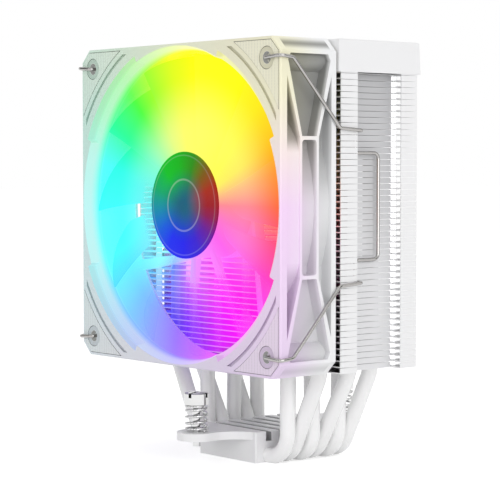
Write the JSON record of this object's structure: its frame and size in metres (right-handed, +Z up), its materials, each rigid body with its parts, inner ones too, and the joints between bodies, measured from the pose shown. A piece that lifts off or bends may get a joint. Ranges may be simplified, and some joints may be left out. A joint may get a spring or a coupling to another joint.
{
  "type": "cpu tower cooler",
  "caption": "Tower cooler for a processor: white fin stack on heat pipes, cold plate block with sprung screws, and a lit fan held by wire clips.",
  "frame": {"origin": "centre of the cold plate's contact face, at the level of the flat milled pipes", "axes": "+Z up from the contact face to the top cover, -Y towards the fan's open face, +X to the right seen from the fan"},
  "size_m": [0.1232, 0.0941, 0.1572],
  "materials": {
    "white_paint": "satin white powder coat",
    "cover_paint": "satin white",
    "pipe_paint": "glossy white paint",
    "white_plastic": "satin moulded",
    "corner_pad": "ribbed matt",
    "frosted_ring": "frosted diffuser",
    "frosted_blade": "frosted, lit from inside",
    "dark_cap": "dark gloss",
    "circuit_board": "white solder mask",
    "lamp": "lamp package",
    "bearing_bronze": "sintered",
    "motor_steel": "plain",
    "copper_wire": "enamelled",
    "magnet": "bonded ferrite",
    "bright_steel": "bright nickel plate"
  },
  "bodies": {
    "cooler": {"base_block": "white_paint", "heat_pipe_1": "pipe_paint", "heat_pipe_2": "pipe_paint", "heat_pipe_3": "pipe_paint", "heat_pipe_4": "pipe_paint", "heat_pipe_5": "pipe_paint", "heat_pipe_6": "pipe_paint", "fin_stack": "white_paint", "top_fin": "white_paint", "top_cover": "cover_paint", "fan_frame": "white_plastic", "front_corner_pads": "corner_pad", "rear_corner_pads": "corner_pad", "light_ring": "frosted_ring", "light_boards": "circuit_board", "ring_lamps": "lamp", "bearing_sleeve": "bearing_bronze", "bearing_cap": "white_plastic", "motor_board": "circuit_board", "stator_core": "motor_steel", "stator_coils": "copper_wire", "front_spring": "bright_steel", "rear_spring": "bright_steel"},
    "impeller": {"impeller": "frosted_blade", "hub_cap": "dark_cap", "rotor_magnet": "magnet", "rotor_yoke": "motor_steel", "fan_shaft": "motor_steel", "shaft_clip": "motor_steel"},
    "right_clip": {"fan_clip_right": "bright_steel"},
    "left_clip": {"fan_clip_left": "bright_steel"},
    "front_retainer": {"front_retainer": "bright_steel"},
    "front_screw": {"front_screw": "bright_steel"},
    "rear_retainer": {"rear_retainer": "bright_steel"},
    "rear_screw": {"rear_screw": "bright_steel"}
  },
  "joints": [
    {"name": "fan_spin", "type": "hinge", "parent": "cooler", "child": "impeller", "pos_m": [0, -0.0345, 0.0972], "axis": [0, -1, 0], "continuous": true},
    {"name": "right_clip_swing", "type": "hinge", "parent": "cooler", "child": "right_clip", "pos_m": [0.0525, -0.0486, 0.0972], "axis": [0, 0, -1], "range_deg": [0, 22], "stiffness_Nm_per_rad": 0.15, "springref_deg": -4.58},
    {"name": "left_clip_swing", "type": "hinge", "parent": "cooler", "child": "left_clip", "pos_m": [-0.0525, -0.0486, 0.0972], "axis": [0, 0, 1], "range_deg": [0, 22], "stiffness_Nm_per_rad": 0.15, "springref_deg": -4.58},
    {"name": "front_screw_travel", "type": "slide", "parent": "cooler", "child": "front_retainer", "axis": [0, 0, -1], "range_m": [0, 0.004], "stiffness_N_per_m": 2500, "springref_m": -0.004, "deforming": ["front_spring"]},
    {"name": "front_screw_turn", "type": "hinge", "parent": "front_retainer", "child": "front_screw", "pos_m": [0, -0.0375, 0.02], "axis": [0, 0, 1], "continuous": true},
    {"name": "rear_screw_travel", "type": "slide", "parent": "cooler", "child": "rear_retainer", "axis": [0, 0, -1], "range_m": [0, 0.004], "stiffness_N_per_m": 2500, "springref_m": -0.004, "deforming": ["rear_spring"]},
    {"name": "rear_screw_turn", "type": "hinge", "parent": "rear_retainer", "child": "rear_screw", "pos_m": [0, 0.0375, 0.02], "axis": [0, 0, 1], "continuous": true}
  ]
}
